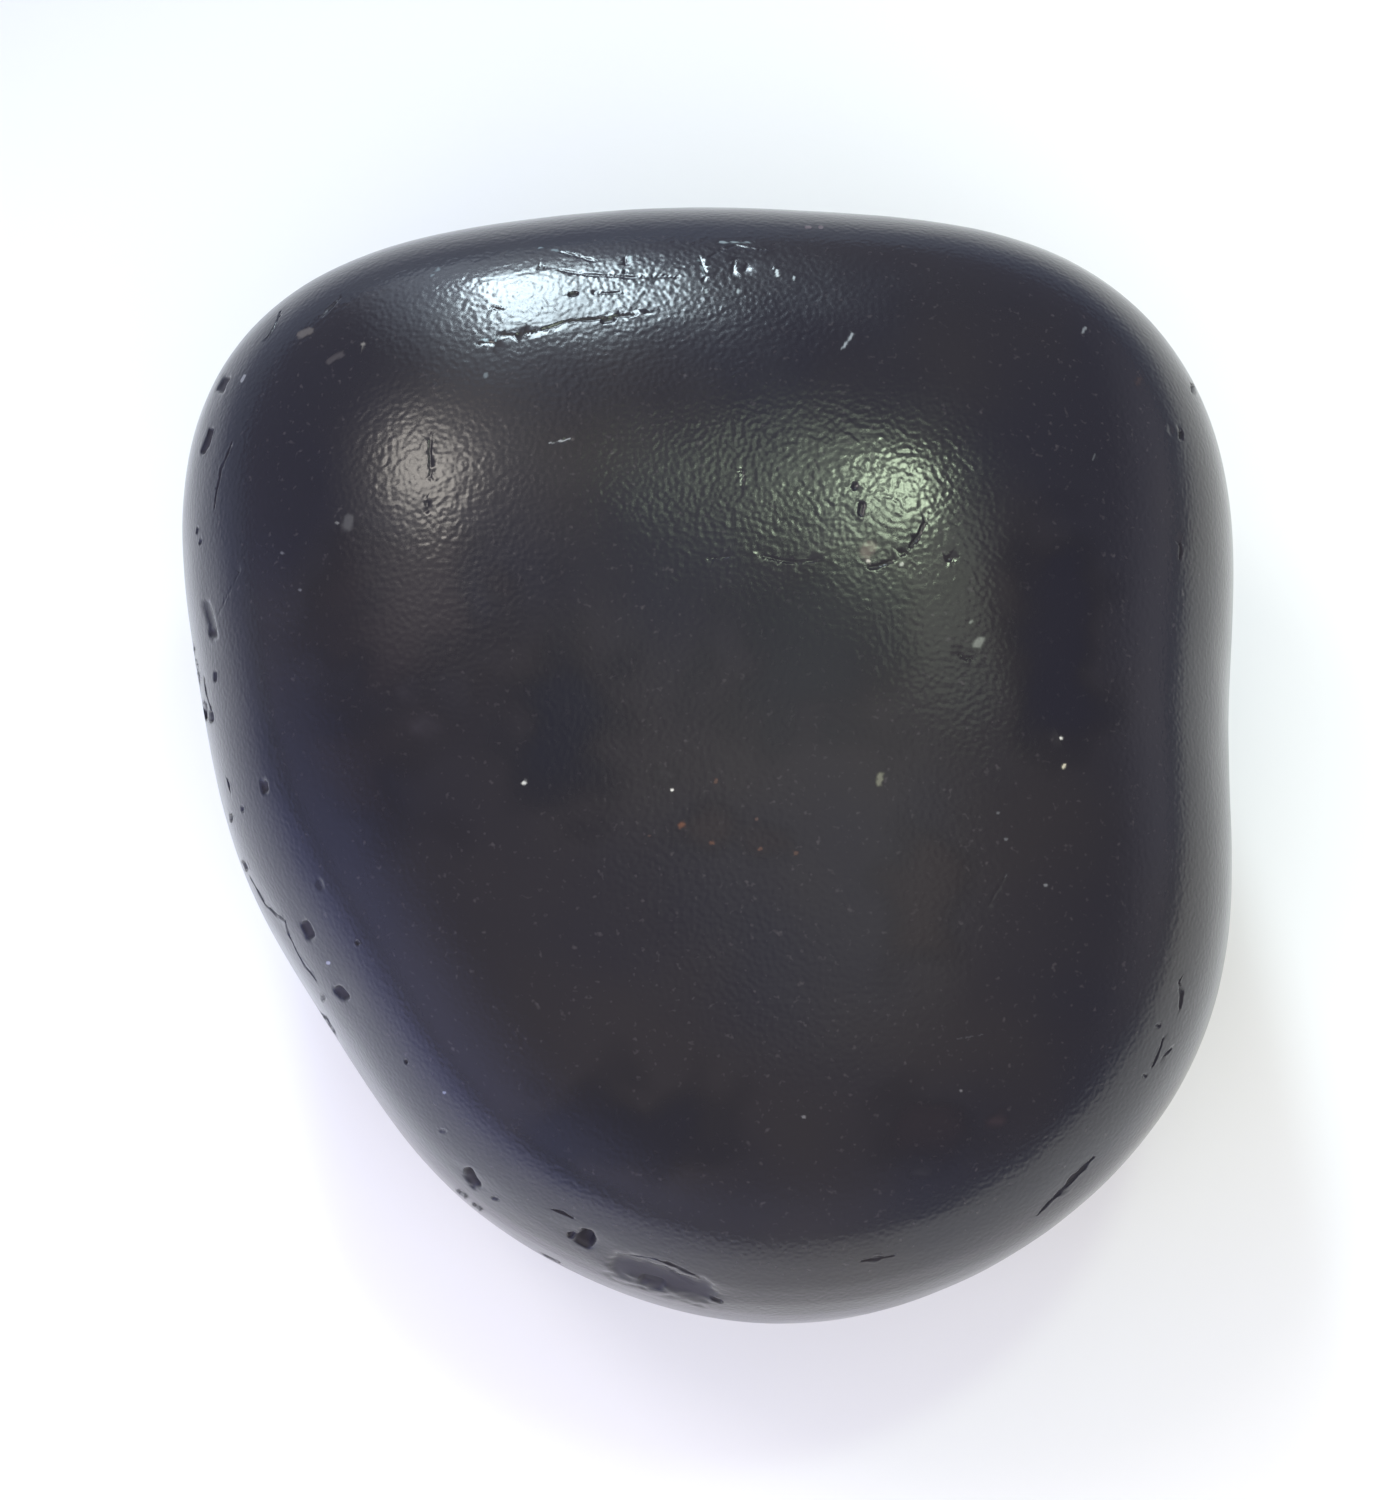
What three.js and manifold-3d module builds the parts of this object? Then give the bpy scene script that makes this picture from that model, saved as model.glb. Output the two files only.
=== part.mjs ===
// A shaligram: a black fossil stone that a mountain river has rounded, smoothed and pitted.
// It is one solid piece. Millimetres, +Z up, origin at the middle of the surface it lies on.
// It lies on the worn flat of its underside with the broad smooth face up. Seen from above,
// +Y is the blunt end, -Y the narrow end, and the slanting side is between -X and -Y.

import * as THREE from 'three';
import * as BufferGeometryUtils from 'three/addons/utils/BufferGeometryUtils.js';
import Module from 'manifold-3d';

const wasm = await Module();
wasm.setup();

// Driving dimensions. The girdle is the widest outline, level with the stone's middle.
// Lists run anticlockwise, seen from above, in equal steps from +X.
const GIRDLE_RADII = [
  31.2, 33.4, 37.1, 37.1, 34.4, 33.6, 35.0, 38.4, 39.8, 35.4,
  31.7, 29.9, 29.0, 30.3, 31.8, 33.5, 34.5, 34.8, 34.4, 32.7,
];
const CROWN_HEIGHT = 24;
const KEEL_DEPTH = 21.6;
const FLAT_DEPTH = 20.6;

// A fullness of 2 gives a side the curve of an ellipse, and more makes its shoulder tighter.
const UPPER_FULLNESS = [2.7, 3.2, 3.1, 3, 2.9, 2.4, 2.35, 2.4];
const LOWER_FULLNESS = [2.5, 3, 2.5, 2.8, 2.5, 2.4, 2.4, 2.4];

// How far the top and the bottom of the stone lean from its middle, along X and Y.
const CROWN_LEAN = new THREE.Vector2(0.5, 4.5);
const KEEL_LEAN = new THREE.Vector2(-1.0, 1.5);

// Broad faces that wear has flattened: bearing and height of the way they face, in degrees,
// and their distance from the middle. A higher edge power leaves a crisper edge round them.
const WORN_FACES = [
  { bearing: 262, height: 74, distance: 23.4 },
  { bearing: 75, height: -40, distance: 31 },
  { bearing: 195, height: -38, distance: 28.2 },
  { bearing: 318, height: -44, distance: 28.2 },
];
const EDGE_POWER = 14;

// Pits, cracks and grooves. Each path gives the bearing and height, in degrees, of points on
// the surface seen from the stone's middle.
const MARKS = [
  // Pits down the slanting side, the last one with a shallow tail.
  { path: [[205.5, 20], [207.5, 19.5]], width: 0.9, depth: 0.4 },
  { path: [[214, 18], [216.5, 19]], width: 1.2, depth: 0.4 },
  { path: [[239.5, 12], [240.5, 9.5]], width: 1, depth: 0.45 },
  { path: [[253.5, 12], [255.5, 12]], width: 1.4, depth: 0.7 },
  { path: [[252.5, 11.5], [254.5, 12]], width: 0.6, depth: 0.3 },

  // The hollow at the narrow end, with a deeper pit in its floor.
  { path: [[257.5, 10.5], [261, 10.5], [265, 9.5], [269, 7.5]], width: 2.6, depth: 0.5 },
  { path: [[261.5, 8], [263.5, 8.5]], width: 1.2, depth: 0.9 },

  // Pits and a crack at the -X side.
  { path: [[146.5, 21], [148, 21.5]], width: 0.9, depth: 0.3 },
  { path: [[151.5, 22.5], [154, 21]], width: 0.8, depth: 0.3 },
  { path: [[167.5, 21], [170, 21.5], [172, 22]], width: 1, depth: 0.35 },
  { path: [[177.5, 17], [178.5, 16]], width: 0.7, depth: 0.3 },
  { path: [[190.5, 26.5], [191.5, 26]], width: 0.9, depth: 0.25 },
  { path: [[195, 10.5], [198.5, 11], [202, 14], [206, 13]], width: 0.5, depth: 0.3 },

  // The long gash and the short cracks at the +X side.
  { path: [[310.5, 14], [307, 12.5], [303, 11]], width: 0.4, depth: 0.3 },
  { path: [[284, 15], [287.5, 14.5]], width: 0.4, depth: 0.15 },
  { path: [[323, 18.5], [322, 18], [320.5, 17.5]], width: 0.4, depth: 0.25 },
  { path: [[328.5, 21], [326.5, 18.5]], width: 0.4, depth: 0.25 },
  { path: [[16.5, 32], [14.5, 32]], width: 0.3, depth: 0.2 },
  { path: [[29, 29.5], [28, 30]], width: 0.5, depth: 0.25 },
  { path: [[35, 22.5], [33.5, 24]], width: 0.7, depth: 0.25 },

  // The curved fossil grooves in the broad face, with a few pits and a scratch.
  { path: [[18, 71.5], [18, 67], [22.5, 63.5], [27, 61.5]], width: 0.35, depth: 0.25 },
  { path: [[64, 81.5], [35, 78], [30, 75.5]], width: 0.3, depth: 0.15 },
  { path: [[41, 67.5], [36.5, 69]], width: 0.6, depth: 0.2 },
  { path: [[13.5, 60.5], [16, 61]], width: 0.6, depth: 0.25 },
  { path: [[67.5, 51], [68.5, 54]], width: 0.35, depth: 0.2 },

  // The ragged cracks along the shoulder at the blunt end.
  { path: [[128, 45.5], [121.5, 47], [115.5, 48], [105, 49]], width: 0.4, depth: 0.25 },
  { path: [[116.5, 39], [111.5, 42], [98, 45]], width: 0.35, depth: 0.2 },

  // Pits and a crack on the hidden side.
  { path: [[40, -30], [43, -31]], width: 1.2, depth: 0.4 },
  { path: [[70, -8], [72, -5.5]], width: 0.8, depth: 0.3 },
  { path: [[120, -15], [123, -18]], width: 0.9, depth: 0.35 },
  { path: [[100, -50], [106, -52]], width: 1.1, depth: 0.4 },
  { path: [[230, -35], [234, -33]], width: 1.3, depth: 0.5 },
  { path: [[300, -25], [306, -27], [311, -31]], width: 0.5, depth: 0.3 },
  { path: [[345, -40], [348, -42]], width: 0.9, depth: 0.35 },
];

const STONE_DETAIL = 15;
const MARK_SIDES = 8;
const MARK_STEPS_PER_POINT = 3;

const { PI, abs, atan2, cos, hypot, max, sin } = Math;
const radians = THREE.MathUtils.degToRad;

// A value at any bearing from a list of values in equal steps round the stone, without kinks.
function around(values, bearing) {
  const count = values.length;
  let sum = 0;
  for (let i = 0; i < count; i += 1) {
    const half = (bearing - (2 * PI * i) / count) / 2;
    const atPoint = abs(sin(half)) < 1e-9;
    sum += values[i] * (atPoint ? 1 : (sin(count * half) * cos(half)) / (count * sin(half)));
  }
  return sum;
}

function facing(bearing, height) {
  const level = cos(radians(height));
  return new THREE.Vector3(
    level * cos(radians(bearing)),
    level * sin(radians(bearing)),
    sin(radians(height)),
  );
}

// The point of the river-smoothed surface in one direction from the stone's middle.
function surfacePoint(direction) {
  const bearing = atan2(direction.y, direction.x);
  const upper = direction.z >= 0;
  const fullness = around(upper ? UPPER_FULLNESS : LOWER_FULLNESS, bearing);
  const rise = upper ? CROWN_HEIGHT : KEEL_DEPTH;
  const outward = hypot(direction.x, direction.y) / around(GIRDLE_RADII, bearing);
  const rounded = (outward ** fullness + (abs(direction.z) / rise) ** fullness) ** (1 / fullness);
  let nearness = rounded ** EDGE_POWER;
  for (const face of WORN_FACES) {
    const reach = direction.dot(facing(face.bearing, face.height)) / face.distance;
    nearness += max(0, reach) ** EDGE_POWER;
  }
  const point = direction.clone().multiplyScalar(nearness ** (-1 / EDGE_POWER));
  const lean = upper ? CROWN_LEAN : KEEL_LEAN;
  const share = (point.z / rise) ** 2;
  point.x += lean.x * share;
  point.y += lean.y * share;
  return point;
}

// Moves every corner of a closed form and joins the corners that meet.
function reshaped(geometry, move) {
  geometry.deleteAttribute('normal');
  geometry.deleteAttribute('uv');
  const merged = BufferGeometryUtils.mergeVertices(geometry, 1e-6);
  const position = merged.getAttribute('position');
  for (let i = 0; i < position.count; i += 1) {
    const corner = new THREE.Vector3().fromBufferAttribute(position, i);
    position.setXYZ(i, ...move(corner).toArray());
  }
  return merged;
}

function smoothStone() {
  const ball = new THREE.IcosahedronGeometry(1, STONE_DETAIL);
  return reshaped(ball, (corner) => surfacePoint(corner.normalize()));
}

// A spindle that follows a path over the surface. What it covers is worn out of the stone.
function spindle({ path, width, depth }) {
  const points = path.map(([bearing, height]) => surfacePoint(facing(bearing, height)));
  const curve = new THREE.CatmullRomCurve3(points);
  const ball = new THREE.SphereGeometry(1, MARK_SIDES, MARK_STEPS_PER_POINT * path.length);
  return reshaped(ball, (corner) => {
    const along = THREE.MathUtils.clamp((corner.y + 1) / 2, 0, 1);
    const centre = curve.getPointAt(along);
    const outward = centre.clone().normalize();
    const sideways = curve.getTangentAt(along).cross(outward).normalize();
    return centre
      .addScaledVector(sideways, (corner.x * width) / 2)
      .addScaledVector(outward, corner.z * depth);
  });
}

function belowTheFlat() {
  const size = 200;
  const slab = new THREE.BoxGeometry(size, size, size);
  return reshaped(slab, (corner) => corner.setZ(corner.z - size / 2 - FLAT_DEPTH));
}

function toSolid(geometry) {
  return new wasm.Manifold(new wasm.Mesh({
    numProp: 3,
    vertProperties: new Float32Array(geometry.getAttribute('position').array),
    triVerts: new Uint32Array(geometry.index.array),
  }));
}

function toGeometry(solid) {
  const { vertProperties, triVerts } = solid.getMesh();
  const geometry = new THREE.BufferGeometry();
  geometry.setAttribute('position', new THREE.BufferAttribute(vertProperties, 3));
  geometry.setIndex(new THREE.BufferAttribute(triVerts, 1));
  return geometry;
}

let solid = toSolid(smoothStone()).subtract(toSolid(belowTheFlat()));
for (const mark of MARKS) {
  solid = solid.subtract(toSolid(spindle(mark)));
}

// The origin moves from the stone's middle to the middle of the ground under its box.
const geometry = toGeometry(solid);
geometry.computeBoundingBox();
const box = geometry.boundingBox;
geometry.translate(-(box.min.x + box.max.x) / 2, -(box.min.y + box.max.y) / 2, -box.min.z);

const stone = new THREE.Mesh(
  geometry,
  new THREE.MeshStandardMaterial({ color: 0x1f1e23, roughness: 0.4, metalness: 0 }),
);
stone.name = 'stone';

const shaligram = new THREE.Group();
shaligram.add(stone);
export default shaligram;
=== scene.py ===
# %% [markdown]
# # A shaligram stone
# A shaligram is a black fossil stone from a river bed in the Himalaya. The river has rolled it
# until it is smooth, and hands and oil have given it a soft shine. This lesson dresses the
# measured solid of one such stone: it gets a finer skin, its pits, cracks and scratches, the
# finish of dark polished rock, and a pale table with soft studio light.

# %%
import math

import bpy
import numpy as np
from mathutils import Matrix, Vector, noise
from mathutils.bvhtree import BVHTree


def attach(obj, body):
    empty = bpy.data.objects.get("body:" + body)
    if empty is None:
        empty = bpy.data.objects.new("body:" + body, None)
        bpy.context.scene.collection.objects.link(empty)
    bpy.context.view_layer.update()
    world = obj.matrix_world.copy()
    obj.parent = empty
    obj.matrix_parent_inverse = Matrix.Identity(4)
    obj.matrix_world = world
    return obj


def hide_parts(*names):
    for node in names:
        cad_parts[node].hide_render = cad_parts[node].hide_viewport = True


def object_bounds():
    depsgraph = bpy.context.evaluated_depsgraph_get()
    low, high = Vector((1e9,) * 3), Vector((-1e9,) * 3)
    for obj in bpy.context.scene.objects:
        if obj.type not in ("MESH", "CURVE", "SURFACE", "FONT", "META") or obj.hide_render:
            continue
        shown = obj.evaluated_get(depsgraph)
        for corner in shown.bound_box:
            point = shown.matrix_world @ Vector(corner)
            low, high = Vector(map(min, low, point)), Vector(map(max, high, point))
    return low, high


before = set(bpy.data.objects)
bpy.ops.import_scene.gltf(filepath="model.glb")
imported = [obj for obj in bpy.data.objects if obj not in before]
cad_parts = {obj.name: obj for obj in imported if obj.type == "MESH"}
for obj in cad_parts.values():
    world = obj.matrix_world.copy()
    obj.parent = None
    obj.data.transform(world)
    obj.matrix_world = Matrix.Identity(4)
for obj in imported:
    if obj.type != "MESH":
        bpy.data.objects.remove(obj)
cad_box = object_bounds()
print("the solid measures", [round(1000 * s, 1) for s in cad_box[1] - cad_box[0]], "mm")

# %% [markdown]
# ## Units
# Blender works in metres here, and a stone is easier to think of in millimetres. One function
# turns one into the other. A second one turns the colours, which are written as on a screen,
# into the linear values that light is counted in.

# %% Millimetres and colours
MM = 0.001


def linear(hex_colour):
    """A screen colour such as "#2a2930" as linear red, green, blue and full alpha."""
    channels = [int(hex_colour[i : i + 2], 16) / 255 for i in (1, 3, 5)]
    return [c / 12.92 if c <= 0.04045 else ((c + 0.055) / 1.055) ** 2.4 for c in channels] + [1.0]


print("mid grey is", round(linear("#808080")[0], 3), "in linear light")

# %% [markdown]
# ## The camera
# The stone is seen from above, a little from the narrow end, so that its broad face fills the
# picture. A long lens from about a quarter of a metre keeps the outline calm, as in a product
# photo of a small thing. The camera comes first, because the marks on the stone are placed by
# where they are seen.

# %% The camera
PHOTO_WIDTH, PHOTO_HEIGHT = 1398, 1500
LENS = 100.0
SENSOR = 36.0
CAMERA_DISTANCE = 260.5 * MM
CAMERA_ELEVATION = math.radians(75)
CAMERA_TARGET = Vector((-0.5, 1.7, 22.0)) * MM

camera_back = Vector((0, -math.cos(CAMERA_ELEVATION), math.sin(CAMERA_ELEVATION)))
camera_right = Vector((1, 0, 0))
camera_up = camera_back.cross(camera_right)
camera_place = CAMERA_TARGET + CAMERA_DISTANCE * camera_back

bpy.ops.object.camera_add(location=camera_place)
camera = bpy.context.object
camera.name = "camera"
camera.rotation_euler = (-camera_back).to_track_quat("-Z", "Y").to_euler()
camera.data.lens = LENS
camera.data.sensor_width = SENSOR
bpy.context.scene.camera = camera


def sight_line(x, y):
    """The direction in which the camera sees a point of the picture, given in its pixels."""
    pixels_per_unit = PHOTO_HEIGHT * LENS / SENSOR
    right = (x - PHOTO_WIDTH / 2) / pixels_per_unit
    up = (PHOTO_HEIGHT / 2 - y) / pixels_per_unit
    return (camera_right * right + camera_up * up - camera_back).normalized()


print("the camera stands", round(camera_place.length / MM), "mm from the stone's foot")

# %% [markdown]
# ## The skin
# The solid has flat facets about two millimetres wide, which a shiny stone would show at once.
# So a ball of small triangles is drawn onto the solid as shrink film is, and then relaxed until
# the facets melt together. A ball made of triangles suits a stone better than one with poles,
# because its mesh is even all over. Relaxing also pulls the film in by a tenth of a
# millimetre, so at the end it is stretched back to the solid's own size.

# %% A copy of the solid to wrap
BALL_SUBDIVISIONS = 7
BALL_ROOM = 1.4
RELAX_STEPS = 24
RELAX_STRENGTH = 0.5
HAIR = 0.01 * MM


def only(piece):
    """Selects one object and nothing else."""
    bpy.ops.object.select_all(action="DESELECT")
    piece.select_set(True)
    bpy.context.view_layer.objects.active = piece


def coordinates(mesh):
    """The corners of a mesh as rows of x, y and z."""
    flat = np.empty(3 * len(mesh.vertices), np.float32)
    mesh.vertices.foreach_get("co", flat)
    return flat.reshape(-1, 3).astype(float)


def apply_modifier(piece, kind, **settings):
    """Adds a modifier with its settings and applies it."""
    modifier = piece.modifiers.new(kind.lower(), kind)
    for setting, value in settings.items():
        setattr(modifier, setting, value)
    only(piece)
    bpy.ops.object.modifier_apply(modifier=modifier.name)


only(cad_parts["stone"])
bpy.ops.object.duplicate()
former = bpy.context.object
bpy.ops.object.mode_set(mode="EDIT")
bpy.ops.mesh.select_all(action="SELECT")
bpy.ops.mesh.remove_doubles(threshold=HAIR / 10)
bpy.ops.object.mode_set(mode="OBJECT")
print("the merged copy has", len(former.data.vertices), "corners")

# %% The film over it
low, high = cad_box
middle = (low + high) / 2
half_size = (high - low) / 2

bpy.ops.object.select_all(action="DESELECT")
bpy.ops.mesh.primitive_ico_sphere_add(
    subdivisions=BALL_SUBDIVISIONS, radius=1, location=middle, scale=BALL_ROOM * half_size
)
stone = bpy.context.object
stone.name = "river_stone"
bpy.ops.object.transform_apply(location=True, rotation=True, scale=True)
apply_modifier(
    stone, "SHRINKWRAP", target=former, wrap_method="PROJECT",
    use_negative_direction=True, use_positive_direction=False,
)
apply_modifier(stone, "SMOOTH", factor=RELAX_STRENGTH, iterations=RELAX_STEPS)
bpy.data.objects.remove(former)

points = coordinates(stone.data)
shrunk = Vector(points.max(axis=0) - points.min(axis=0))
wanted = 2 * half_size - Vector((2 * HAIR, 2 * HAIR, 2 * HAIR))
factors = [w / s for w, s in zip(wanted, shrunk)]
centre_now = Vector(points.max(axis=0) + points.min(axis=0)) / 2

bpy.ops.object.mode_set(mode="EDIT")
bpy.ops.mesh.select_all(action="SELECT")
bpy.ops.transform.translate(value=middle - centre_now - Vector((0, 0, HAIR)))
bpy.ops.transform.resize(value=factors, center_override=middle - Vector((0, 0, HAIR)))
bpy.ops.object.mode_set(mode="OBJECT")
print("the film was stretched by", [round(f, 4) for f in factors])

# %% [markdown]
# ## Where a mark lies
# Each mark is read from the photo, at a pixel of the picture. A line of sight through that
# pixel meets the stone at the mark's real place, so it sits right from every side. Marks on
# the hidden side are given by bearing and height instead, as seen from the stone's middle.
# A pixel that just misses the stone's edge is moved towards the middle until it meets it.

# %% Finding the surface
INWARD_STEP = 0.004

skin = BVHTree.FromObject(stone, bpy.context.evaluated_depsgraph_get())


def seen(x, y):
    """The point of the stone that the camera sees at a pixel, and the way the stone faces there."""
    point, facing, _, _ = skin.ray_cast(camera_place, sight_line(x, y))
    while point is None:
        x += (PHOTO_WIDTH / 2 - x) * INWARD_STEP
        y += (PHOTO_HEIGHT / 2 - y) * INWARD_STEP
        point, facing, _, _ = skin.ray_cast(camera_place, sight_line(x, y))
    return point, facing


def hidden(bearing, height):
    """The point of the stone in a direction from its middle, given in degrees."""
    level = math.cos(math.radians(height))
    away = Vector((
        level * math.cos(math.radians(bearing)),
        level * math.sin(math.radians(bearing)),
        math.sin(math.radians(height)),
    ))
    point, facing, _, _ = skin.ray_cast(middle, away)
    return point, facing


blunt_corner, _ = seen(1100, 330)
print("the blunt corner is", round(blunt_corner.z / MM, 1), "mm above the table")

# %% [markdown]
# ## Pits
# River grit knocks small pits out of the stone. Most are down the slanting side, where the
# photo shows them as soft dark dots. Each is given by its pixel, by its length and width in
# millimetres as the camera sees them, by its depth, and by the turn of its length from the
# picture's right, in degrees.

# %% Pits
PITS = {
    "slant upper": (307, 930, 1.30, 0.66, 0.30, 118),
    "slant dent": (320, 884, 0.70, 0.50, 0.08, 100),
    "slant small": (357, 943, 0.35, 0.26, 0.10, 120),
    "slant middle": (341, 993, 1.25, 0.62, 0.30, 138),
    "slant low small": (323, 998, 0.45, 0.28, 0.12, 90),
    "slant dot": (406, 1062, 0.34, 0.24, 0.12, 110),
    "slant faint": (443, 1131, 0.45, 0.24, 0.06, 170),
    "lower": (472, 1179, 1.55, 0.78, 0.45, 124),
    "lower left": (462, 1194, 0.55, 0.26, 0.14, 150),
    "lower right": (495, 1199, 0.50, 0.24, 0.12, 160),
    "lower tail": (477, 1207, 0.50, 0.24, 0.14, 150),
    "deep round": (586, 1240, 1.45, 1.25, 0.65, 150),
    "deep round tail": (572, 1235, 0.60, 0.40, 0.25, 20),
    "rim top": (223, 384, 1.25, 0.50, 0.25, 62),
    "rim upper": (207, 441, 1.75, 0.42, 0.25, 70),
    "rim short": (197, 531, 0.45, 0.16, 0.12, 80),
    "rim short lower": (200, 542, 0.40, 0.16, 0.12, 70),
    "rim long": (210, 620, 2.60, 0.62, 0.12, 284),
    "rim long bulge": (212, 633, 0.80, 0.62, 0.22, 284),
    "rim dot": (215, 677, 0.72, 0.26, 0.15, 270),
    "rim notch": (201, 711, 1.10, 0.30, 0.25, 270),
    "rim dark": (211, 717, 0.75, 0.32, 0.30, 270),
    "rim dent": (264, 787, 0.85, 0.48, 0.20, 280),
    "rim tick": (242, 809, 0.36, 0.20, 0.12, 270),
    "rim spot": (231, 818, 0.44, 0.22, 0.22, 270),
    "rim gap": (245, 866, 0.60, 0.30, 0.20, 290),
    "right top": (1193, 389, 0.56, 0.30, 0.18, 270),
    "right upper": (1181, 435, 0.56, 0.26, 0.18, 270),
    "right dent": (1171, 430, 0.60, 0.45, 0.06, 270),
    "right dot": (1158, 1026, 0.30, 0.24, 0.12, 0),
    "right low dot": (1145, 1076, 0.30, 0.24, 0.12, 0),
    "face upper": (855, 486, 0.45, 0.30, 0.06, 80),
    "face long": (861, 509, 0.95, 0.42, 0.08, 80),
    "face lower": (949, 558, 0.50, 0.32, 0.08, 30),
    "window spot": (573, 294, 0.65, 0.32, 0.14, 10),
    "window blotch": (608, 320, 0.90, 0.40, 0.10, 10),
}
print(len(PITS), "pits")

# %% [markdown]
# ## The hollow
# At the narrow end a flake has come off and left a shallow hollow seven millimetres long, with
# an arched lip above it and a deeper pit in its floor. Each stroke of it is a route of pixels
# with a width and a depth in millimetres.

# %% The hollow
HOLLOW = {
    "hollow": ([(620, 1267), (648, 1273), (680, 1285), (702, 1293)], 1.85, 0.22),
    "hollow floor pit": ([(644, 1281), (660, 1285)], 1.00, 0.36),
    "hollow shelf": ([(670, 1275), (694, 1287)], 0.50, 0.25),
    "hollow tail": ([(704, 1296), (720, 1302)], 0.32, 0.16),
}
HOLLOW_LIP = {
    "hollow upper lip": ([(630, 1256), (657, 1260), (695, 1275), (708, 1289)], 0.22, 0.12),
}
print(len(HOLLOW) + len(HOLLOW_LIP), "strokes make the hollow")

# %% [markdown]
# ## Cracks and grooves
# Fine cracks follow the rim, and a long gash runs up from the lower right. The broad face has
# curved grooves, where the fossil inside shows as a faint arc.

# %% Cracks and grooves
CRACKS = {
    "gash": ([(1094, 1157), (1086, 1165), (1076, 1176), (1070, 1183), (1054, 1197),
              (1038, 1215)], 0.34, 0.26),
    "foot groove": ([(862, 1261), (880, 1258), (894, 1256)], 0.26, 0.09),
    "right crack": ([(1179, 980), (1181, 994), (1180, 1009)], 0.28, 0.18),
    "right hook": ([(1163, 1039), (1159, 1052), (1153, 1066)], 0.26, 0.16),
    "right branch": ([(1172, 1049), (1164, 1056)], 0.20, 0.12),
    "right upright": ([(1180, 542), (1181, 551), (1180, 560)], 0.20, 0.12),
    "rim line": ([(192, 648), (193, 664), (193, 680)], 0.20, 0.12),
    "rim branch": ([(204, 684), (208, 700), (211, 712)], 0.18, 0.12),
    "rim cut": ([(226, 778), (230, 793)], 0.16, 0.09),
    "rim seam": ([(251, 879), (257, 890), (265, 905), (276, 915), (285, 921), (289, 936),
                  (296, 951)], 0.18, 0.10),
    "rim seam end": ([(296, 951), (305, 966), (316, 981)], 0.18, 0.06),
    "fork left": ([(320, 1016), (328, 1030)], 0.24, 0.16),
    "fork right": ([(328, 1022), (333, 1031)], 0.20, 0.12),
    "low crack": ([(552, 1210), (563, 1213), (573, 1218)], 0.24, 0.12),
    "low rim crack": ([(544, 1255), (558, 1262)], 0.24, 0.14),
    "fossil arc": ([(866, 568), (879, 566), (896, 559), (909, 549)], 0.19, 0.09),
    "fossil arc end": ([(911, 547), (919, 535), (924, 522), (929, 515)], 0.22, 0.11),
    "fossil arc middle": ([(761, 555), (780, 560), (804, 562), (825, 558)], 0.24, 0.06),
    "fossil arc left": ([(707, 558), (718, 558), (730, 556)], 0.24, 0.05),
    "window crack": ([(500, 336), (514, 335), (546, 329), (564, 322), (583, 320), (625, 316),
                      (648, 312)], 0.19, 0.08),
    "window crack upper": ([(537, 266), (571, 272), (587, 275), (627, 277), (680, 276)],
                           0.17, 0.06),
    "window crack right": ([(590, 293), (610, 293), (632, 292)], 0.15, 0.05),
    "window crack cross": ([(625, 256), (626, 266), (625, 277)], 0.17, 0.06),
    "window crack top": ([(560, 252), (578, 256), (596, 261)], 0.17, 0.06),
    "window crack left": ([(490, 308), (506, 310)], 0.15, 0.05),
    "window ledge": ([(478, 343), (488, 343), (497, 343)], 0.19, 0.05),
    "shoulder arc": ([(711, 256), (722, 249), (736, 245), (747, 248), (770, 250)], 0.15, 0.04),
    "shoulder streak": ([(699, 256), (706, 272), (704, 282)], 0.15, 0.04),
    "shoulder tick": ([(735, 259), (733, 274)], 0.14, 0.04),
    "shoulder tick right": ([(748, 263), (745, 272)], 0.14, 0.04),
    "lamp groove": ([(432, 432), (430, 446), (430, 460), (431, 480)], 0.20, 0.05),
    "lamp groove low": ([(426, 494), (427, 505), (428, 516)], 0.20, 0.05),
    "corner crack": ([(280, 312), (275, 325), (267, 338)], 0.20, 0.10),
    "corner streak": ([(342, 296), (332, 306), (322, 316)], 0.20, 0.07),
    "side line": ([(233, 441), (227, 455), (221, 469), (214, 509)], 0.16, 0.06),
    "side line low": ([(243, 566), (230, 590), (218, 614)], 0.14, 0.03),
    "hair scratch": ([(548, 444), (560, 441), (573, 439)], 0.14, 0.03),
    "spot groove": ([(958, 654), (966, 658), (973, 657)], 0.18, 0.08),
    "lower scratches": ([(1007, 874), (1000, 886), (993, 898), (987, 909)], 0.14, 0.04),
    "face tick": ([(742, 470), (742, 486)], 0.16, 0.04),
    "low tick": ([(628, 1079), (639, 1084)], 0.14, 0.04),
}
print(len(CRACKS), "cracks and grooves")

# %% [markdown]
# ## The hidden side
# The photo doesn't show the back and the underside. A real stone is worn alike all round, so a
# few plain pits and cracks of the same kinds go there, by their bearing and height.

# %% Marks on the hidden side
BACK_PITS = {
    "back low": (40, -30, 1.5, 1.1, 0.40, 20),
    "back middle": (71, -7, 1.2, 0.8, 0.30, 70),
    "back left": (121, -16, 1.4, 0.9, 0.35, 140),
    "back dot": (98, -2, 0.6, 0.5, 0.20, 0),
    "under back": (103, -51, 1.7, 1.1, 0.40, 10),
    "under front": (232, -34, 1.7, 1.3, 0.45, 40),
    "under right": (346, -41, 1.4, 0.9, 0.35, 30),
    "right low": (10, -14, 0.8, 0.6, 0.25, 80),
}
BACK_CRACKS = {
    "under crack": ([(300, -25), (303, -26), (306, -27), (309, -30), (311, -31)], 0.45, 0.25),
    "back crack": ([(84, -20), (87, -23), (88, -27)], 0.35, 0.18),
}
print(len(BACK_PITS) + len(BACK_CRACKS), "marks out of sight")

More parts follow.
